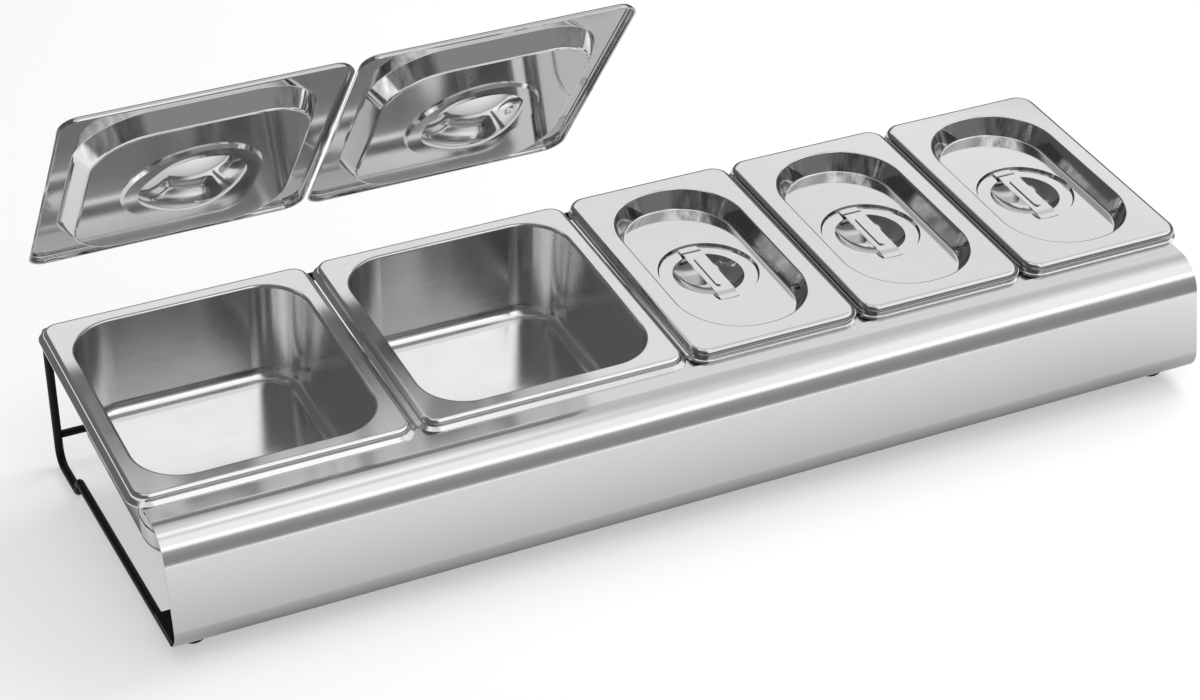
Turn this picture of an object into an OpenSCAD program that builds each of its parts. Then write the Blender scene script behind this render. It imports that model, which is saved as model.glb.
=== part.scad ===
// Five lidded pans in a sloping wire and sheet rack
// Millimetres, +Z up. X runs along the row, Y to the back; the origin is on the floor under the middle.
// Pans, lids and the front sheet lie in one frame that leans forward by the slope.

/* [Row of pans] */
// Width of a wide pan over its rim
wide_w = 162; // [150:0.5:176]
// Width of a slim pan over its rim
slim_w = 108; // [98:0.5:120]
// Front to back size of every pan over its rim
pan_d = 176; // [160:0.5:190]
// Gap between two pans in the row
row_gap = 0.92; // [0.6:0.02:2]
// Forward slope of the row in degrees
slope = 5; // [3:0.5:7]

/* [Pan] */
// Thickness of the pan sheet
pan_t = 0.8; // [0.6:0.05:1]
// Height of the rim flange over the lip
rim_h = 5.2; // [4.8:0.1:6]
// Outward reach of the lip
lip_w = 2.6; // [2.4:0.1:3]
// Rise of the lip from its free edge to the skirt
lip_rise = 1.3; // [1:0.1:1.5]
// Outer radius of the rolled shoulder between skirt and flange
shoulder_r = 2.8; // [2.4:0.1:3]
// Plan radius of the rim corners
rim_corner_r = 12; // [11:0.5:13]
// Width of the rim from the lip to the opening
rim_w = 13; // [12.5:0.1:15]
// Plan radius of the opening corners
opening_r = 27.5; // [24:0.5:32]
// Radius of the rolled edge of the opening
edge_r = 1.8; // [1.5:0.1:2.2]
// Depth inside the pan under the flange
pan_depth = 62.2; // [50:0.2:66]
// Lean of the pan walls in degrees
wall_lean = 3.3; // [2:0.1:4.5]
// Inside radius between wall and floor
floor_r = 8; // [6:0.5:10]

/* [Lid] */
// Thickness of the lid sheet
lid_t = 0.7; // [0.6:0.05:0.8]
// Set-in of the lid lip from the pan lip
lid_in = 0.6; // [0.4:0.05:0.8]
// Reach of the small lip at the foot of the lid skirt
lid_lip = 0.5; // [0.4:0.05:0.6]
// Height of the foot of the seated lid over the pan lip
lid_foot = 1.95; // [1.8:0.05:2.2]
// Outer radius of the lid shoulder
lid_shoulder_r = 3.15; // [2.9:0.05:3.3]
// Width of the flat border from the lid lip to the recess
border_w = 13.8; // [13.8:0.1:18]
// Plan radius of the recess corners
recess_r = 38; // [30:0.5:39]
// Rounding at the upper edge of the recess
recess_edge_r = 1.2; // [1:0.1:1.6]
// Depth of the recess in a slim lid
slim_recess = 11.4; // [8:0.1:13]
// Set-in of the recess floor in a slim lid
slim_set_in = 5.3; // [3:0.1:8]
// Depth of the recess in a wide lid
wide_recess = 10.2; // [8:0.1:13]
// Set-in of the recess floor in a wide lid
wide_set_in = 6.6; // [3:0.1:8]
// Radius at the foot of the recess wall
recess_foot_r = 1.5; // [1:0.1:2]
// Pressed step round the finger well
ring_step = 1.8; // [1.2:0.1:2.4]
// Run of that step in plan
ring_run = 1; // [0.6:0.1:1.6]
// Radius of the ring in a slim lid
slim_ring_r = 29.9; // [27:0.1:31]
// Radius of the finger well in a slim lid
slim_well_r = 21.1; // [19:0.1:23]
// Depth of the finger well in a slim lid
slim_well_h = 9; // [6:0.1:12]
// Radius of the ring in a wide lid
wide_ring_r = 39; // [35:0.1:42]
// Radius of the finger well in a wide lid
wide_well_r = 30; // [26:0.1:32]
// Depth of the finger well in a wide lid
wide_well_h = 10.5; // [7:0.1:13]
// Swing of the two raised lids in degrees
open_deg = 56.2; // [40:0.1:60]
// Distance of the swing line behind the front lips
pole_y = 213.9; // [208:0.1:222]
// Height of the swing line over the lips
pole_z = 20.1; // [16:0.1:26]

/* [Handle] */
// Width of the strap
strap_w = 12; // [10:0.5:14]
// Thickness of the strap
strap_t = 1; // [0.8:0.1:1.3]
// Gap between the strap end and the ring wall
strap_gap = 0.5; // [0.3:0.1:1]
// Rise of the strap between its two welded ends
strap_rise = 0.9; // [0.6:0.1:1.4]
// Length of the ramp up to the raised middle
strap_ramp = 3; // [2:0.1:5]
// Width of the pressed rib
rib_w = 5; // [4:0.1:6]
// Length of the rib in a slim lid
slim_rib_l = 32; // [26:0.5:36]
// Length of the rib in a wide lid
wide_rib_l = 44; // [36:0.5:50]
// Height of the rib
rib_h = 0.8; // [0.5:0.1:1.2]

/* [Front panel] */
// Thickness of the front sheet
front_t = 1; // [0.8:0.1:1.5]
// Distance of the panel's left end from the end of the row
front_in = 6.1; // [4:0.1:9]
// Distance of the panel's right end from the end of the row
front_in_right = 9.4; // [4:0.1:11]
// Height of the top strip over the pan lips
strip_z = 0.3; // [0.1:0.05:0.6]
// Distance from the pan lips to the start of the big bend
strip_run = 11.6; // [10:0.1:14]
// Outer radius of the big upper bend
bow_r = 21; // [18:0.1:24]
// Lean of the front face in degrees from square to the pans
face_lean = 13.16; // [10:0.1:16]
// Length of the flat front face
face_l = 38; // [34:0.5:42]
// Outer radius of the lower bend
foot_bend_r = 12; // [10:0.1:14]
// Turn of the lower bend in degrees
foot_bend_turn = 66; // [50:1:70]
// Top of the ledge under the front lips
ledge_z = -0.8; // [-1:0.05:-0.6]
// Back edge of the ledge
ledge_y = 10.8; // [9:0.1:11]
// Radius of the two bends at the back of the ledge
ledge_r = 2; // [1.5:0.1:3]
// Level of the folded return under the ledge
return_z = -12.4; // [-14:0.1:-10]
// Forward reach of the return to its knee
return_run = 2.5; // [0:0.1:5]
// Rise of the return to its knee
return_rise = 1.4; // [0.5:0.1:2.5]
// Forward reach of the tip of the return
tip_run = 19.6; // [17:0.1:20]
// Drop of that tip under the lips
tip_drop = 3.4; // [3:0.05:4]

/* [Frame] */
// Diameter of the side wires
wire_d = 5; // [4:0.1:6]
// Distance of each side wire from the end of the row
wire_in = 8.5; // [7:0.1:10]
// Distance of the other side wire from its end
wire_in_right = 11.8; // [8:0.1:13]
// Distance of the uprights behind the back lips
upright_out = 8.4; // [6:0.1:11]
// Bend radius of the wires
wire_bend_r = 9; // [7:0.5:11]
// Radius of the two bends that lift the front run of the side wires
joggle_r = 4.5; // [4:0.1:5.5]
// Front end of the side wires
wire_front_y = -25; // [-27:0.1:-18]
// Front end of the low back run of the side wires
joggle_y = 151; // [140:0.5:155]
// Diameter of the cross rod
rod_d = 4.6; // [4:0.1:5]
// Height of the cross rod over the floor
rod_z = 20.5; // [16:0.1:30]
// Diameter of the back rail, a rod
rail_d = 5; // [4:0.1:5]
// Set-in of the back rail from the back lips
rail_in = 5.1; // [4.5:0.1:8]
// Clearance between the back rail and the lips
rail_gap = 0.1; // [0.05:0.05:0.5]
// Front edge of the base strip
base_y = -29.95; // [-30.4:0.05:-29]
// Width of the base strip
base_w = 29.4; // [26:0.1:34]
// Thickness of the base strip
base_t = 1.5; // [1:0.1:2]

/* [Feet] */
// Diameter of a rubber foot
foot_d = 16; // [14:0.5:20]
// Diameter of a foot where it stands
foot_base_d = 14; // [12:0.5:16]
// Rounding at the foot of the rubber
foot_edge_r = 1.5; // [1:0.1:2]
// Distance of a foot from the end of the row
foot_in = 23; // [20:0.5:34]
// Position of the feet behind the front lips
foot_y = -9.6; // [-14:0.1:-6]

/* [View] */
// Which piece is drawn

/* [Hidden] */
$fn = 96;
bite = 0.3;
touch = 0.1;
joint = 0.02;
quarter = 90;
grid = 0.001;
seam = 0.01;
lap = 0.1;
arc_steps = 5;
widths = [wide_w, wide_w, slim_w, slim_w, slim_w];
starts = [
  0,
  wide_w + row_gap,
  2 * (wide_w + row_gap),
  2 * (wide_w + row_gap) + slim_w + row_gap,
  2 * (wide_w + row_gap) + 2 * (slim_w + row_gap)
];
row_l = 2 * wide_w + 3 * slim_w + 4 * row_gap;
row_mid = row_l / 2;
lip_level = 81.25;
mid_y = 75.44;
steel = [0.78, 0.79, 0.8];
black = [0.06, 0.06, 0.06];
shoulder_y = lip_w + shoulder_r;
shoulder_z = rim_h - shoulder_r;
roll_in = rim_w - edge_r;
roll_z = rim_h - edge_r;
lean_c = cos(wall_lean);
lean_s = sin(wall_lean);
floor_z = rim_h - pan_depth;
wall_top = [edge_r * lean_c, roll_z + edge_r * lean_s];
fillet_z = floor_z + floor_r;
fillet_y = wall_top[0] + (floor_r - (fillet_z - wall_top[1]) * lean_s) / lean_c;
wall_foot = [fillet_y - floor_r * lean_c, fillet_z - floor_r * lean_s];
roll_corner_r = opening_r + edge_r;
floor_in = roll_in + fillet_y - lap;
base_z = wire_d + 2 * joggle_r - touch;

// Ring sector between two radii, from one angle to another
module bent(r, t, a, b) {
  reach = 2 * (r + t);
  m = (a + b) / 2;
  intersection() {
    difference() {
      circle(r + t);
      circle(r);
    }
    polygon([
      [0, 0],
      [reach * cos(a), reach * sin(a)],
      [reach * cos(m), reach * sin(m)],
      [reach * cos(b), reach * sin(b)]
    ]);
  }
}

// Straight sheet from p to q, its thickness to the left of the way; it laps into the bend at each end
module flat(p, q, t) {
  way = (q - p) / norm(q - p);
  side = [-way[1], way[0]];
  a = p - way * lap + side * seam;
  b = q + way * lap + side * seam;
  polygon([a, b, b + side * (t - 2 * seam), a + side * (t - 2 * seam)]);
}

// Plate with rounded corners
module rounded(w, d, r) {
  union() {
    translate([r, 0])
      square([w - 2 * r, d]);
    translate([0, r])
      square([w, d - 2 * r]);
    for (c = [[r, r], [w - r, r], [w - r, d - r], [r, d - r]])
      translate(c)
        circle(r);
  }
}

// Section carried round a rounded outline; the section's x counts inward from it
module swept(w, d, r) {
  translate([r, 0, 0])
    rotate([90, 0, 90])
      linear_extrude(w - 2 * r)
        children();
  translate([w - r, d, 0])
    rotate([90, 0, -90])
      linear_extrude(w - 2 * r)
        children();
  translate([0, d - r, 0])
    rotate([90, 0, 0])
      linear_extrude(d - 2 * r)
        children();
  translate([w, r, 0])
    rotate([90, 0, 180])
      linear_extrude(d - 2 * r)
        children();
  for (c = [[r, r, 180], [w - r, r, 270], [w - r, d - r, 0], [r, d - r, 90]])
    translate([c[0], c[1], 0])
      rotate([0, 0, c[2]])
        rotate_extrude(angle = quarter)
          translate([r, 0])
            mirror([1, 0])
              children();
}

// Piece placed in the frame that leans forward with the row
module sloping(x = 0) {
  translate([-row_mid, -mid_y, lip_level])
    rotate([slope, 0, 0])
      translate([x, 0, 0])
        children();
}

// Section of a pan rim from the lip to the flange
module rim_section() {
  polygon([
    [0, 0],
    [lip_w, lip_rise],
    [lip_w, shoulder_z],
    [lip_w + pan_t, shoulder_z],
    [lip_w + pan_t, lip_rise - pan_t / 2],
    [0, -pan_t]
  ]);
  translate([shoulder_y, shoulder_z])
    bent(shoulder_r - pan_t, pan_t, 90, 180);
}

// Section of a pan wall, counted inward from the end of the flat flange
module wall_section() {
  translate([0, roll_z])
    bent(edge_r - pan_t, pan_t, wall_lean, 90);
  flat(wall_foot, wall_top, pan_t);
  translate([fillet_y, fillet_z])
    bent(floor_r, pan_t, 180 + wall_lean, 270);
}

// One pan
module pan(w) {
  swept(w, pan_d, rim_corner_r)
    rim_section();
  translate([0, 0, rim_h - pan_t])
    linear_extrude(pan_t)
      difference() {
        translate([shoulder_y, shoulder_y])
          rounded(w - 2 * shoulder_y, pan_d - 2 * shoulder_y, rim_corner_r - shoulder_y);
        translate([roll_in, roll_in])
          rounded(w - 2 * roll_in, pan_d - 2 * roll_in, roll_corner_r);
      }
  translate([roll_in, roll_in, 0])
    swept(w - 2 * roll_in, pan_d - 2 * roll_in, roll_corner_r)
      wall_section();
  translate([floor_in, floor_in, floor_z - pan_t + seam])
    linear_extrude(pan_t - 2 * seam)
      rounded(w - 2 * floor_in, pan_d - 2 * floor_in, rim_w + opening_r - floor_in);
}

lid_top = rim_h + lid_t;
half_t = lid_t / 2;
lid_bend_z = lid_top - lid_shoulder_r;
lid_flat_in = lid_lip + lid_shoulder_r;
lid_corner_r = rim_corner_r - lid_in;
recess_roll_in = border_w - recess_edge_r;
recess_roll_r = recess_r + recess_edge_r;

// Section of a lid skirt, counted inward from its lip
module skirt_section() {
  translate([0, lid_foot])
    square([lid_lip + lid_t, lid_t]);
  translate([lid_lip, lid_foot])
    square([lid_t, lid_bend_z - lid_foot]);
  translate([lid_flat_in, lid_bend_z])
    bent(lid_shoulder_r - lid_t, lid_t, 90, 180);
}

function near(v) = round(v / grid) * grid;
function recess_foot(depth, run) =
  let (
    lean = atan(run / depth),
    fall = depth - recess_edge_r - recess_foot_r + recess_edge_r * sin(lean)
  )
  near(recess_edge_r * cos(lean) + (recess_foot_r + fall * sin(lean)) / cos(lean));
function arc(c, r, a, b) = [
  for (i = [0 : arc_steps])
    let (w = a + (b - a) * i / arc_steps)
    [near(c[0] + r * cos(w)), near(c[1] + r * sin(w))]
];

// Section of the recess wall, counted inward from the end of the flat border
module recess_section(depth, run) {
  lean = atan(run / depth);
  top_c = [0, lid_top - recess_edge_r];
  low_c = [recess_foot(depth, run), lid_top - depth + recess_foot_r];
  polygon(concat(
    arc(top_c, recess_edge_r, 90, lean),
    arc(low_c, recess_foot_r, 180 + lean, 270),
    arc(low_c, recess_foot_r + lid_t, 270, 180 + lean),
    arc(top_c, recess_edge_r - lid_t, lean, 90)
  ));
}

// Ring step and finger well, turned about the lid's middle
module well(z, ring_r, well_r, well_h) {
  low = z - ring_step;
  ball = (well_r * well_r + well_h * well_h) / (2 * well_h);
  inner = ring_r - ring_run;
  rotate_extrude()
    polygon([
      [ring_r, z],
      [inner, low],
      [well_r, low],
      [well_r, low - lid_t],
      [inner + half_t, low - lid_t],
      [ring_r + lid_t, z - lid_t],
      [ring_r + lid_t, z]
    ]);
  rotate_extrude()
    intersection() {
      translate([0, low - well_h + ball])
        difference() {
          circle(ball + lid_t);
          circle(ball);
        }
      translate([0, low - well_h - lid_t])
        square([well_r + lid_t, well_h + lid_t]);
    }
}

// One lid in its seated place
module lid(w, depth, run, ring_r, well_r, well_h) {
  lw = w - 2 * lid_in;
  ld = pan_d - 2 * lid_in;
  foot = recess_roll_in + recess_foot(depth, run);
  translate([lid_in, lid_in, 0]) {
    swept(lw, ld, lid_corner_r)
      skirt_section();
    translate([0, 0, rim_h])
      linear_extrude(lid_t)
        difference() {
          translate([lid_flat_in, lid_flat_in])
            rounded(lw - 2 * lid_flat_in, ld - 2 * lid_flat_in, lid_corner_r - lid_flat_in);
          translate([recess_roll_in, recess_roll_in])
            rounded(lw - 2 * recess_roll_in, ld - 2 * recess_roll_in, recess_roll_r);
        }
    translate([recess_roll_in, recess_roll_in, 0])
      swept(lw - 2 * recess_roll_in, ld - 2 * recess_roll_in, recess_roll_r)
        recess_section(depth, run);
    translate([0, 0, lid_top - depth - lid_t])
      linear_extrude(lid_t)
        difference() {
          translate([foot, foot])
            rounded(lw - 2 * foot, ld - 2 * foot, recess_r + border_w - foot);
          translate([lw / 2, ld / 2])
            circle(ring_r + half_t);
        }
    translate([lw / 2, ld / 2, 0])
      well(lid_top - depth, ring_r, well_r, well_h);
  }
}

// One strap handle, welded by its ends to the ring floor
module strap(w, depth, ring_r, well_r, rib_l) {
  low = lid_top - depth - ring_step;
  end_r = ring_r - ring_run - strap_gap;
  flat_l = well_r + strap_ramp;
  translate([w / 2, pan_d / 2, low]) {
    intersection() {
      rotate([90, 0, 90])
        linear_extrude(strap_w, center = true)
          polygon([
            [-end_r, 0],
            [-flat_l, 0],
            [-well_r, strap_rise],
            [well_r, strap_rise],
            [flat_l, 0],
            [end_r, 0],
            [end_r, strap_t],
            [flat_l, strap_t],
            [well_r, strap_rise + strap_t],
            [-well_r, strap_rise + strap_t],
            [-flat_l, strap_t],
            [-end_r, strap_t]
          ]);
      cylinder(h = 2 * (strap_rise + strap_t), r = end_r);
    }
    translate([0, 0, strap_rise + strap_t - joint])
      linear_extrude(rib_h + joint)
        union() {
          square([rib_w, rib_l - rib_w], center = true);
          for (s = [-1, 1])
            translate([0, s * (rib_l - rib_w) / 2])
              circle(d = rib_w);
        }
  }
}

// Raised lids turn about one line behind the row
module raised() {
  translate([0, pole_y, pole_z])
    rotate([-open_deg, 0, 0])
      translate([0, -pole_y, -pole_z])
        children();
}

step_l = strip_z - ledge_z;
step_cut = front_t / 2;
ledge_back = ledge_y - ledge_r;
bow_turn = 90 - face_lean;

// Ring sector that starts at the top and turns to the left
module bend(r, t, turn) {
  reach = 2 * (r + t);
  intersection() {
    difference() {
      circle(r + t);
      circle(r);
    }
    translate([-reach, -reach])
      square([reach, 2 * reach]);
    rotate(turn)
      translate([0, -reach])
        square([reach, 2 * reach]);
  }
}

// Section carried along the whole front
module along_front() {
  sloping(front_in)
    rotate([90, 0, 90])
      linear_extrude(row_l - front_in - front_in_right)
        children();
}

// Bent sheet front with its ledge and folded return
module front_panel() {
  color(steel) {
    along_front()
      polygon([
        [-strip_run, strip_z],
        [-step_l, strip_z],
        [0, ledge_z],
        [ledge_back, ledge_z],
        [ledge_back, ledge_z - front_t],
        [-step_cut, ledge_z - front_t],
        [-step_l - step_cut, strip_z - front_t],
        [-strip_run, strip_z - front_t]
      ]);
    along_front()
      translate([ledge_back, ledge_z - ledge_r])
        mirror([1, 0])
          bend(ledge_r - front_t, front_t, 90);
    along_front()
      translate([ledge_y - front_t, return_z + ledge_r])
        square([front_t, ledge_z - return_z - 2 * ledge_r]);
    along_front()
      translate([ledge_back, return_z + ledge_r])
        mirror([0, 1])
          mirror([1, 0])
            bend(ledge_r - front_t, front_t, 90);
    along_front()
      polygon([
        [ledge_back, return_z],
        [-return_run, return_z + return_rise],
        [-tip_run, -tip_drop],
        [-tip_run + step_cut, -tip_drop + front_t + bite],
        [-return_run + step_cut, return_z + return_rise + front_t],
        [ledge_back, return_z + front_t]
      ]);
    along_front()
      translate([-strip_run, strip_z - bow_r])
        bend(bow_r - front_t, front_t, bow_turn);
    along_front()
      translate([-strip_run, strip_z - bow_r])
        rotate(bow_turn)
          translate([-face_l - lap, bow_r - front_t + seam])
            square([face_l + 2 * lap, front_t - 2 * seam]);
    along_front()
      translate([-strip_run, strip_z - bow_r])
        rotate(bow_turn)
          translate([-face_l, bow_r - foot_bend_r])
            bend(foot_bend_r - front_t, front_t, foot_bend_turn);
  }
}

// Flat strip along the bottom of the front
module base_strip() {
  color(black)
    translate([-row_mid + front_in, base_y - mid_y, base_z])
      cube([row_l - front_in - front_in_right, base_w, base_t]);
}

// Straight wire along the depth
module leg_y(from, to, z) {
  translate([0, to, z])
    rotate([90, 0, 0])
      cylinder(h = to - from, d = wire_d);
}

// Quarter bend of a wire about a centre; place counts quarters from the back towards the top
module elbow(y, z, r, place) {
  translate([0, y, z])
    rotate([90, 0, 90])
      rotate([0, 0, quarter * place])
        rotate_extrude(angle = quarter)
          translate([r, 0])
            circle(d = wire_d);
}

wire_r = wire_d / 2;
upright_y = pan_d + upright_out;
run_z = wire_r + 2 * joggle_r;
rail_spot = [pan_d - rail_in, -pan_t - rail_gap - rail_d / 2];
rail_y = near(rail_spot[0] * cos(slope) - rail_spot[1] * sin(slope));
rail_z = near(lip_level + rail_spot[0] * sin(slope) + rail_spot[1] * cos(slope));
hook_y = rail_y + rail_d / 2 - bite;
bend_y = upright_y - wire_bend_r;

// Bent wire of one side, from the hook behind the rail to the front end
module side_wire(x) {
  color(black)
    translate([x - row_mid, -mid_y, 0]) {
      leg_y(hook_y, bend_y, rail_z);
      elbow(bend_y, rail_z - wire_bend_r, wire_bend_r, 0);
      translate([0, upright_y, wire_r + wire_bend_r])
        cylinder(h = rail_z - wire_r - 2 * wire_bend_r, d = wire_d);
      elbow(bend_y, wire_r + wire_bend_r, wire_bend_r, 3);
      leg_y(joggle_y, bend_y, wire_r);
      elbow(joggle_y, wire_r + joggle_r, joggle_r, 2);
      elbow(joggle_y - 2 * joggle_r, wire_r + joggle_r, joggle_r, 0);
      leg_y(wire_front_y, joggle_y - 2 * joggle_r, run_z);
    }
}

// Rod across the back between the uprights
module rear_cross_rod() {
  color(black)
    translate([wire_in + wire_d / 2 - bite - row_mid, upright_y - mid_y, rod_z])
      rotate([0, 90, 0])
        cylinder(h = row_l - wire_in - wire_in_right - wire_d + 2 * bite, d = rod_d);
}

// Rod under the back lips
module rear_rail() {
  color(black)
    translate([wire_in - wire_r - row_mid, rail_y - mid_y, rail_z])
      rotate([0, 90, 0])
        cylinder(h = row_l - wire_in - wire_in_right + wire_d, d = rail_d);
}

// Two rubber feet under the base strip
module rubber_feet() {
  color(black)
    for (x = [foot_in, row_l - foot_in])
      translate([x - row_mid, foot_y - mid_y, 0])
        rotate_extrude()
          polygon([
            [0, 0],
            [foot_base_d / 2 - foot_edge_r, 0],
            [foot_base_d / 2, foot_edge_r],
            [foot_d / 2, base_z],
            [0, base_z]
          ]);
}

// Pan by its place in the row
module pan_at(i) {
  color(steel)
    sloping(starts[i])
      pan(widths[i]);
}

// Lid by its place in the row
module lid_at(i) {
  color(steel)
    sloping(starts[i])
      if (i < 2)
        raised()
          lid(wide_w, wide_recess, wide_set_in, wide_ring_r, wide_well_r, wide_well_h);
      else
        lid(slim_w, slim_recess, slim_set_in, slim_ring_r, slim_well_r, slim_well_h);
}

// Handle by its place in the row
module handle_at(i) {
  color(steel)
    sloping(starts[i])
      if (i < 2)
        raised()
          strap(wide_w, wide_recess, wide_ring_r, wide_well_r, wide_rib_l);
      else
        strap(slim_w, slim_recess, slim_ring_r, slim_well_r, slim_rib_l);
}

front_panel();
base_strip();
side_wire(wire_in);  // side_wire_left
side_wire(row_l - wire_in_right);  // side_wire_right
rear_cross_rod();
rear_rail();
rubber_feet();
pan_at(0);  // pan_1
pan_at(1);  // pan_2
pan_at(2);  // pan_3
pan_at(3);  // pan_4
pan_at(4);  // pan_5
lid_at(0);  // lid_1
lid_at(1);  // lid_2
lid_at(2);  // lid_3
lid_at(3);  // lid_4
lid_at(4);  // lid_5
handle_at(0);  // lid_handle_1
handle_at(1);  // lid_handle_2
handle_at(2);  // lid_handle_3
handle_at(3);  // lid_handle_4
handle_at(4);  // lid_handle_5
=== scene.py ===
import math
import bpy
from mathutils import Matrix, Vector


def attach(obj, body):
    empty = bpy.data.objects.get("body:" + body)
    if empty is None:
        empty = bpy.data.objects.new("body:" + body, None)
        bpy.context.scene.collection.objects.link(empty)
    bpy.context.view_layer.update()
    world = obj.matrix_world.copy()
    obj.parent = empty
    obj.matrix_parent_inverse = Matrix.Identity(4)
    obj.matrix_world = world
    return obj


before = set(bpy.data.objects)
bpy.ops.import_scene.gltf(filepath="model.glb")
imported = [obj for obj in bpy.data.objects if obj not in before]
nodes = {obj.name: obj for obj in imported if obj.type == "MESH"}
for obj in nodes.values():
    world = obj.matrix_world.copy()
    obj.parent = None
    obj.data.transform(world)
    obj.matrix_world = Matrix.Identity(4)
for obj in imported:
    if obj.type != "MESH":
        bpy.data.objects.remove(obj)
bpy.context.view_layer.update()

print("frame loaded:", len(nodes), "solids")


def newMaterial(name):
    mat = bpy.data.materials.new(name)
    mat.use_nodes = True
    tree = mat.node_tree
    return mat, tree.nodes, tree.links, tree.nodes["Principled BSDF"]


def stretchedNoise(nodeList, links, scale, detail, rough):
    # noise drawn out along the grain; scale is per metre on each axis
    coord = nodeList.new("ShaderNodeTexCoord")
    mapping = nodeList.new("ShaderNodeMapping")
    mapping.inputs["Scale"].default_value = scale
    noise = nodeList.new("ShaderNodeTexNoise")
    noise.inputs["Scale"].default_value = 1
    noise.inputs["Detail"].default_value = detail
    noise.inputs["Roughness"].default_value = rough
    links.new(coord.outputs["Object"], mapping.inputs["Vector"])
    links.new(mapping.outputs["Vector"], noise.inputs["Vector"])
    return noise.outputs["Fac"]


def spread(nodeList, links, value, low, high, fromLow=0.3, fromHigh=0.7):
    # maps a noise value to a working range
    ranger = nodeList.new("ShaderNodeMapRange")
    ranger.inputs["From Min"].default_value = fromLow
    ranger.inputs["From Max"].default_value = fromHigh
    ranger.inputs["To Min"].default_value = low
    ranger.inputs["To Max"].default_value = high
    links.new(value, ranger.inputs["Value"])
    return ranger.outputs["Result"]


def tint(nodeList, links, value, dark, light):
    # a colour between two, by a noise value
    ramp = nodeList.new("ShaderNodeValToRGB")
    ramp.color_ramp.elements[0].position = 0.3
    ramp.color_ramp.elements[1].position = 0.7
    ramp.color_ramp.elements[0].color = dark + (1,)
    ramp.color_ramp.elements[1].color = light + (1,)
    links.new(value, ramp.inputs["Fac"])
    return ramp.outputs["Color"]


def addBump(nodeList, links, shader, height, distance, strength):
    bump = nodeList.new("ShaderNodeBump")
    bump.inputs["Distance"].default_value = distance
    bump.inputs["Strength"].default_value = strength
    links.new(height, bump.inputs["Height"])
    links.new(bump.outputs["Normal"], shader.inputs["Normal"])


def maths(nodeList, links, operation, first, second):
    # a math node whose second value is a number or a socket
    node = nodeList.new("ShaderNodeMath")
    node.operation = operation
    links.new(first, node.inputs[0])
    if isinstance(second, (int, float)):
        node.inputs[1].default_value = second
    else:
        links.new(second, node.inputs[1])
    return node.outputs[0]


def alongAxis(nodeList, links, vector, axis):
    # how far the surface faces along an axis, either way
    node = nodeList.new("ShaderNodeVectorMath")
    node.operation = "DOT_PRODUCT"
    node.inputs[1].default_value = axis
    links.new(vector, node.inputs[0])
    size = nodeList.new("ShaderNodeMath")
    size.operation = "ABSOLUTE"
    links.new(node.outputs["Value"], size.inputs[0])
    return size.outputs[0]


def toneBlend(nodeList, links, factor, first, second):
    blend = nodeList.new("ShaderNodeMix")
    blend.data_type = "RGBA"  # its colour sockets are 6 and 7, and the result is output 2
    links.new(factor, blend.inputs[0])
    for socket, tone in ((6, first), (7, second)):
        if isinstance(tone, tuple):
            blend.inputs[socket].default_value = tone + (1,)
        else:
            links.new(tone, blend.inputs[socket])
    return blend.outputs[2]


def brushedSheet(name, look):
    # brushed stainless sheet: long fine grain along the row, broad soft streaks, faint handling marks
    mat, nodeList, links, shader = newMaterial(name)
    shader.inputs["Metallic"].default_value = 1
    fine = stretchedNoise(nodeList, links, look["fineGrain"], 3, 0.6)
    broad = stretchedNoise(nodeList, links, look["broadGrain"], 2, 0.5)
    wear = stretchedNoise(nodeList, links, look["wearSize"], 3, 0.6)
    grain = maths(nodeList, links, "MULTIPLY", maths(nodeList, links, "ADD", fine, broad), 0.5)
    # pressed walls get a painted shade, a darker wall tone, and their corners carry draw marks mixed with painted
    # reflection streaks, dark and light
    facing = nodeList.new("ShaderNodeTexCoord").outputs["Normal"]
    flatness = alongAxis(nodeList, links, facing, look["flatAxis"])
    upright = spread(nodeList, links, flatness, 1, 0, *look["wallReach"])
    bothWays = maths(nodeList, links, "MULTIPLY", alongAxis(nodeList, links, facing, (1, 0, 0)),
                     alongAxis(nodeList, links, facing, look["depthAxis"]))
    corner = spread(nodeList, links, bothWays, 0, 1, *look["cornerReach"])
    markAndReflectionNoise = stretchedNoise(nodeList, links, look["drawGrain"], 2, 0.5)
    drawMarksAndReflections = tint(nodeList, links, markAndReflectionNoise, look["cornerMarkAndReflectionDark"], look["cornerMarkAndReflectionLight"])
    shadedWalls = toneBlend(nodeList, links, corner, look["paintedWallShade"], drawMarksAndReflections)
    flats = tint(nodeList, links, grain, look["darkTone"], look["lightTone"])
    # base colour: grain tone on the flats, painted wall shade with painted corner reflection streaks on the upright
    # walls
    links.new(toneBlend(nodeList, links, upright, flats, shadedWalls), shader.inputs["Base Color"])
    grainRough = spread(nodeList, links, fine, look["roughLow"], look["roughHigh"])
    wearRough = spread(nodeList, links, wear, 0, look["wearRough"])
    links.new(maths(nodeList, links, "ADD", grainRough, wearRough), shader.inputs["Roughness"])
    wallMarks = maths(nodeList, links, "MULTIPLY", markAndReflectionNoise, upright)
    markDepth = maths(nodeList, links, "MULTIPLY", wallMarks, look["drawDepth"])
    relief = maths(nodeList, links, "ADD", markDepth, grain)
    addBump(nodeList, links, shader, relief, look["bumpDepth"], look["bumpStrength"])
    return mat


def coatedSteel(name, look):
    # powder coat: near black, slightly glossy, a fine orange peel
    mat, nodeList, links, shader = newMaterial(name)
    peel = stretchedNoise(nodeList, links, look["peelSize"], 2, 0.5)
    patch = stretchedNoise(nodeList, links, look["patchSize"], 3, 0.6)
    links.new(tint(nodeList, links, patch, look["darkTone"], look["lightTone"]), shader.inputs["Base Color"])
    links.new(spread(nodeList, links, patch, look["roughLow"], look["roughHigh"]), shader.inputs["Roughness"])
    shader.inputs["Specular IOR Level"].default_value = look["sheen"]
    addBump(nodeList, links, shader, peel, look["bumpDepth"], look["bumpStrength"])
    return mat


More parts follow.
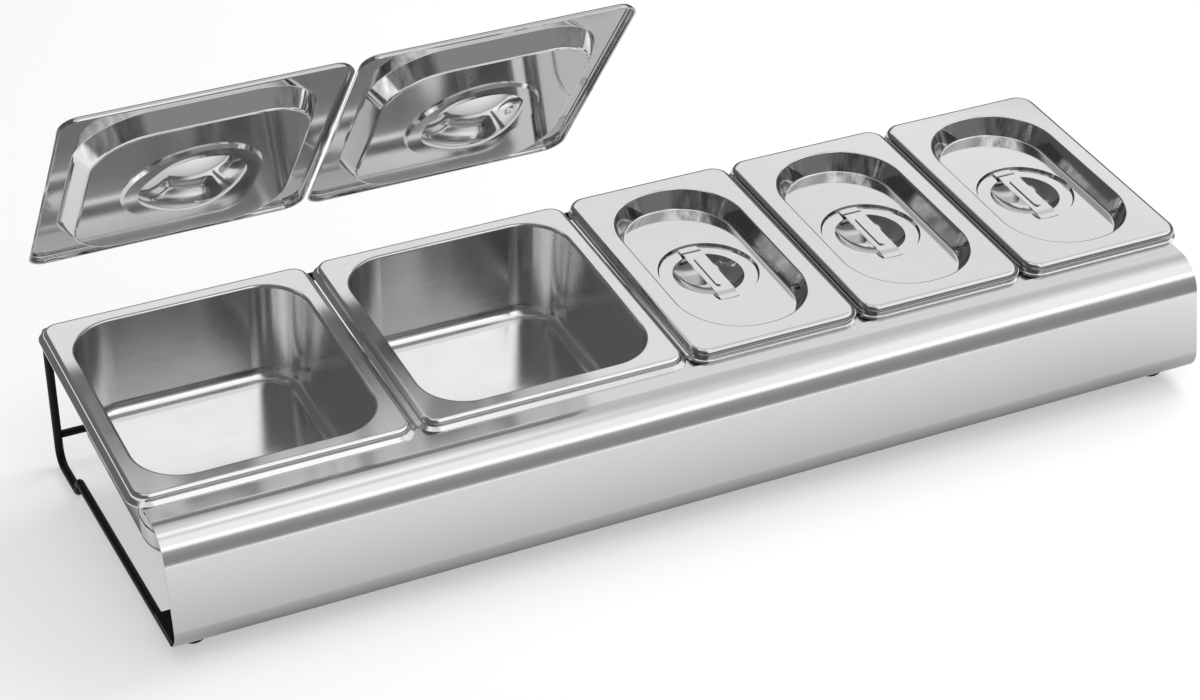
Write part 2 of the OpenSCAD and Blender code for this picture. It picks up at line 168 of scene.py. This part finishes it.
sheetLook = {
    "flatAxis": (0, -0.087, 0.996), "depthAxis": (0, 0.996, 0.087), "drawGrain": (110, 110, 4), "drawDepth": 0,
    "wallReach": (0.55, 0.9), "cornerReach": (0.1, 0.3),  # where a wall and a corner begin and are full
}
frontLook = {
    **sheetLook,
    "fineGrain": (22, 2600, 2600), "broadGrain": (2.5, 260, 260), "wearSize": (14, 40, 40),
    "darkTone": (0.69, 0.69, 0.692), "lightTone": (0.73, 0.73, 0.732), "paintedWallShade": (0.71, 0.71, 0.712),
    "cornerMarkAndReflectionDark": (0.70, 0.70, 0.702), "cornerMarkAndReflectionLight": (0.72, 0.72, 0.722),
    "roughLow": 0.10, "roughHigh": 0.15, "wearRough": 0.02, "bumpDepth": 0.000008, "bumpStrength": 0.12,
}
panLook = {
    **sheetLook,
    "fineGrain": (30, 2400, 2400), "broadGrain": (6, 180, 180), "wearSize": (30, 40, 35), "drawDepth": 14,
    # the pans' walls get a slight painted shade (0.77 against 0.79 to 0.82 on the flats), and their corners draw
    # marks mixed with painted reflection streaks
    "darkTone": (0.79, 0.79, 0.792), "lightTone": (0.82, 0.82, 0.822), "paintedWallShade": (0.77, 0.77, 0.772),
    "cornerMarkAndReflectionDark": (0.62, 0.62, 0.622), "cornerMarkAndReflectionLight": (0.86, 0.86, 0.862),
    "roughLow": 0.13, "roughHigh": 0.18, "wearRough": 0.03, "bumpDepth": 0.000006, "bumpStrength": 0.1,
}
lidLook = {
    **sheetLook,
    "fineGrain": (40, 2400, 2400), "broadGrain": (8, 220, 220), "wearSize": (35, 40, 40),
    "drawGrain": (240, 240, 6), "drawDepth": 30,
    # the seated lids' walls get a deep painted shade (0.44 against 0.74 to 0.77 on the flats), and their corners
    # painted reflection streaks from 0.24 to 0.76
    "darkTone": (0.74, 0.74, 0.742), "lightTone": (0.77, 0.77, 0.772), "paintedWallShade": (0.44, 0.44, 0.442),
    "cornerMarkAndReflectionDark": (0.24, 0.24, 0.242), "cornerMarkAndReflectionLight": (0.76, 0.76, 0.762),
    "roughLow": 0.05, "roughHigh": 0.08, "wearRough": 0.015, "bumpDepth": 0.000005, "bumpStrength": 0.1,
}
raisedLook = {
    **lidLook,  # the two raised lids lean back
    # their walls get a lighter painted shade than the seated lids' walls, and paler painted dark corner streaks
    "flatAxis": (0, 0.779, 0.627), "depthAxis": (0, 0.627, -0.779), "paintedWallShade": (0.66, 0.66, 0.662),
    "cornerMarkAndReflectionDark": (0.34, 0.34, 0.342), "drawGrain": (240, 80, 80), "drawDepth": 8,
}
strapLook = {
    **sheetLook,
    "fineGrain": (2400, 40, 2400), "broadGrain": (300, 10, 300), "wearSize": (60, 40, 60),
    "darkTone": (0.74, 0.74, 0.742), "lightTone": (0.77, 0.77, 0.772), "paintedWallShade": (0.75, 0.75, 0.752),
    "cornerMarkAndReflectionDark": (0.73, 0.73, 0.732), "cornerMarkAndReflectionLight": (0.76, 0.76, 0.762),
    "roughLow": 0.06, "roughHigh": 0.1, "wearRough": 0.02, "bumpDepth": 0.000005, "bumpStrength": 0.1,
}
blackLook = {
    "peelSize": (900, 900, 900), "patchSize": (45, 45, 45),
    "darkTone": (0.002, 0.002, 0.002), "lightTone": (0.004, 0.004, 0.004),
    "roughLow": 0.36, "roughHigh": 0.48, "bumpDepth": 0.00004, "bumpStrength": 0.25, "sheen": 0.22,
}
rubberLook = {
    "peelSize": (1500, 1500, 1500), "patchSize": (120, 120, 120),
    "darkTone": (0.010, 0.010, 0.010), "lightTone": (0.020, 0.020, 0.020),
    "roughLow": 0.65, "roughHigh": 0.8, "bumpDepth": 0.0001, "bumpStrength": 0.4, "sheen": 0.3,
}

frontSteel = brushedSheet("frontSteel", frontLook)
panSteel = brushedSheet("panSteel", panLook)
lidSteel = brushedSheet("lidSteel", lidLook)
raisedSteel = brushedSheet("raisedSteel", raisedLook)
strapSteel = brushedSheet("strapSteel", strapLook)
blackCoat = coatedSteel("blackCoat", blackLook)
footRubber = coatedSteel("footRubber", rubberLook)

finishOf = {
    "front_panel": frontSteel, "base_strip": blackCoat, "side_wire": blackCoat, "rear_": blackCoat,
    "rubber_feet": footRubber, "pan_": panSteel, "lid_handle": strapSteel, "lid_": lidSteel,
    "lid_1": raisedSteel, "lid_2": raisedSteel,
}
for nodeName, solid in nodes.items():
    start = max((s for s in finishOf if nodeName.startswith(s)), key=len)
    solid.data.materials.clear()
    solid.data.materials.append(finishOf[start])
print("finishes on", len(nodes), "solids")


def toneRamp(nodeList, links, value, steps):
    # brightness up to 2 by a value from 0 to 1
    ramp = nodeList.new("ShaderNodeValToRGB")
    bar = ramp.color_ramp
    while len(bar.elements) < len(steps):
        bar.elements.new(0.5)
    for element, (spot, tone) in zip(bar.elements, steps):
        element.position = spot
        element.color = (tone / 2, tone / 2, tone / 2, 1)
    links.new(value, ramp.inputs["Fac"])
    return ramp.outputs["Color"]


endPlate = {
    # section of the closed channel under the ledge, mm across and up, in the row's own sloping frame
    "outline": [(-16.2, -2.9), (-14.5, -2.2), (-13.0, -1.9), (-11.6, -1.8), (-2.2, -1.8), (-1.9, -2.9), (8.0, -2.9),
                (8.6, -3.6), (8.6, -9.6), (8.0, -10.1), (4.0, -9.7), (-1.9, -8.9)],
    "wall": 0.0008, "round": 0.0002, "ends": {"endPlateLeft": -0.31934, "endPlateRight": 0.31604},
    "rowSpot": (-0.07544, 0.08125), "rowSlope": math.radians(5),
}
plateSteel = brushedSheet("plateSteel", dict(frontLook, roughLow=0.2, roughHigh=0.26))
slopeCos, slopeSin = math.cos(endPlate["rowSlope"]), math.sin(endPlate["rowSlope"])
rowY, rowZ = endPlate["rowSpot"]
for plateName, endX in endPlate["ends"].items():
    bpy.ops.object.select_all(action="DESELECT")
    bpy.ops.mesh.primitive_circle_add(vertices=len(endPlate["outline"]), radius=0.01, fill_type="NGON")
    plate = bpy.context.object
    plate.name = plateName
    for vertex, (across, up) in zip(plate.data.vertices, endPlate["outline"]):
        vertex.co = (endX, rowY + (across * slopeCos - up * slopeSin) / 1000,
                     rowZ + (across * slopeSin + up * slopeCos) / 1000)
    wall = plate.modifiers.new("wall", "SOLIDIFY")
    wall.thickness = endPlate["wall"]
    wall.offset = 0
    edge = plate.modifiers.new("edge", "BEVEL")
    edge.width = endPlate["round"]
    edge.segments = 2
    for modifier in ("wall", "edge"):
        bpy.ops.object.modifier_apply(modifier=modifier)
    bpy.ops.object.mode_set(mode="EDIT")
    bpy.ops.mesh.select_all(action="SELECT")
    bpy.ops.mesh.normals_make_consistent(inside=False)
    bpy.ops.object.mode_set(mode="OBJECT")
    plate.data.materials.append(plateSteel)
    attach(plate, "rack")
print("end plates placed")


floorLook = {
    "tone": (0.90, 0.90, 0.90), "lift": 0.47, "halfRow": (0.28, 0.10, 0),
    # metres from under the row, and the painted brightness that the metal mirrors there: a painted shadow by the
    # rack, painted light further out
    "paintedMirrorFloor": [(0.0, 0.22), (0.02, 0.38), (0.087, 0.68), (0.12, 0.78), (0.17, 0.90), (0.23, 1.0), (0.28, 1.3),
                 (0.42, 1.3), (0.50, 0.30), (1.0, 0.30)],
}

bpy.ops.object.select_all(action="DESELECT")
bpy.ops.mesh.primitive_plane_add(size=8, location=(0, 0, 0))
floor = bpy.context.object
floor.name = "floor"
mat, nodeList, links, shader = newMaterial("floorPaper")
nodeList.remove(shader)
output = nodeList["Material Output"]
paper = nodeList.new("ShaderNodeBsdfDiffuse")
paper.inputs["Color"].default_value = floorLook["tone"] + (1,)
lightPath = nodeList.new("ShaderNodeLightPath")
glow = nodeList.new("ShaderNodeEmission")
shown = nodeList.new("ShaderNodeMixShader")
lift = nodeList.new("ShaderNodeMath")
lift.operation = "MULTIPLY"
lift.inputs[1].default_value = floorLook["lift"]
links.new(lightPath.outputs["Is Camera Ray"], lift.inputs[0])
links.new(lift.outputs[0], shown.inputs[0])
links.new(paper.outputs[0], shown.inputs[1])
links.new(glow.outputs[0], shown.inputs[2])
# for mirror rays the floor is a glow painted by distance: a painted shadow by the rack, bright further out, and a
# low glow for the far room
coord = nodeList.new("ShaderNodeTexCoord")
reach = coord.outputs["Object"]
outwards = (("ABSOLUTE", None), ("SUBTRACT", floorLook["halfRow"]), ("MAXIMUM", (0, 0, 0)))
for step, amount in outwards:
    node = nodeList.new("ShaderNodeVectorMath")
    node.operation = step
    links.new(reach, node.inputs[0])
    if amount:
        node.inputs[1].default_value = amount
    reach = node.outputs[0]
distance = nodeList.new("ShaderNodeVectorMath")
distance.operation = "LENGTH"
links.new(reach, distance.inputs[0])
paintedFloorGlow = nodeList.new("ShaderNodeEmission")
paintedFloorGlow.inputs["Strength"].default_value = 2
links.new(toneRamp(nodeList, links, distance.outputs["Value"], floorLook["paintedMirrorFloor"]), paintedFloorGlow.inputs["Color"])
ground = nodeList.new("ShaderNodeMixShader")
links.new(lightPath.outputs["Is Glossy Ray"], ground.inputs[0])
links.new(shown.outputs[0], ground.inputs[1])
links.new(paintedFloorGlow.outputs[0], ground.inputs[2])
links.new(ground.outputs[0], output.inputs["Surface"])
floor.data.materials.append(mat)

roomLook = {
    # height of the direction (sine), brightness
    "front": [(-1.0, 0.28), (0.20, 0.32), (0.46, 0.42), (0.55, 1.5), (0.63, 1.65), (0.68, 1.15), (0.86, 1.2),
              (0.90, 0.85), (0.93, 0.85), (0.94, 1.4), (0.965, 1.4), (0.985, 0.70), (1.0, 0.70)],
    "back": [(-1.0, 0.12), (0.48, 0.14), (0.545, 0.50), (0.565, 1.08), (0.59, 0.90), (0.69, 0.97), (0.72, 0.70),
             (0.94, 0.66), (1.0, 0.70)],
    "left": [(-1.0, 0.15), (0.62, 0.15), (0.84, 0.11), (0.945, 0.12), (0.968, 1.15), (0.985, 1.0), (1.0, 0.70)],
    "backReach": (-0.15, 0.25), "leftReach": (-0.12, 0.08),  # where one side of the room gives way to the next
}
world = bpy.data.worlds.new("room")
bpy.context.scene.world = world
world.use_nodes = True
nodeList, links = world.node_tree.nodes, world.node_tree.links
nodeList.clear()
output = nodeList.new("ShaderNodeOutputWorld")
coord = nodeList.new("ShaderNodeTexCoord")
split = nodeList.new("ShaderNodeSeparateXYZ")
links.new(coord.outputs["Generated"], split.inputs[0])
height = spread(nodeList, links, split.outputs["Z"], 0, 1, -1, 1)
backward = spread(nodeList, links, split.outputs["Y"], 0, 1, *roomLook["backReach"])
leftward = spread(nodeList, links, split.outputs["X"], 1, 0, *roomLook["leftReach"])


def heightRamp(steps):
    return toneRamp(nodeList, links, height, [((spot + 1) / 2, tone) for spot, tone in steps])


ahead = toneBlend(nodeList, links, backward, heightRamp(roomLook["front"]), heightRamp(roomLook["back"]))
around = toneBlend(nodeList, links, leftward, ahead, heightRamp(roomLook["left"]))
room = nodeList.new("ShaderNodeBackground")
room.inputs["Strength"].default_value = 2
links.new(around, room.inputs["Color"])
white = nodeList.new("ShaderNodeBackground")
white.inputs["Color"].default_value = (1, 1, 1, 1)
lightPath = nodeList.new("ShaderNodeLightPath")
pick = nodeList.new("ShaderNodeMixShader")
links.new(lightPath.outputs["Is Camera Ray"], pick.inputs[0])
links.new(room.outputs[0], pick.inputs[1])
links.new(white.outputs[0], pick.inputs[2])
links.new(pick.outputs[0], output.inputs["Surface"])

lampSet = {
    "keyLamp": {"spot": (1.3, 0.5, 1.6), "size": 1.2, "power": 26, "seen": False},
    "fillLamp": {"spot": (-0.6, -1.2, 1.6), "size": 1.6, "power": 16, "seen": False},
}
for lampName, lamp in lampSet.items():
    lampData = bpy.data.lights.new(lampName, "AREA")
    lampData.size = lamp["size"]
    lampData.energy = lamp["power"]
    lampObject = bpy.data.objects.new(lampName, lampData)
    bpy.context.scene.collection.objects.link(lampObject)
    lampObject.location = lamp["spot"]
    aim = Vector((0, 0, 0.05)) - Vector(lamp["spot"])
    lampObject.rotation_euler = aim.to_track_quat("-Z", "Y").to_euler()
    lampObject.visible_glossy = lamp["seen"]
    lampObject.visible_camera = False
print("floor, room and lamps placed")


cameraSet = {
    "spot": (-0.640424, -1.315379, 0.927761), "turn": (59.3452, 0.8120, -25.1854),
    "lens": 88.1288, "shift": (0.016667, -0.011667),
}
cameraData = bpy.data.cameras.new("camera")
cameraData.lens = cameraSet["lens"]
cameraData.sensor_width = 36
cameraData.shift_x, cameraData.shift_y = cameraSet["shift"]
cameraData.clip_start = 0.05
cameraData.clip_end = 50
camera = bpy.data.objects.new("camera", cameraData)
bpy.context.scene.collection.objects.link(camera)
camera.location = cameraSet["spot"]
camera.rotation_euler = [math.radians(a) for a in cameraSet["turn"]]
bpy.context.scene.camera = camera
bpy.context.scene.view_settings.view_transform = "Standard"
print("camera placed")
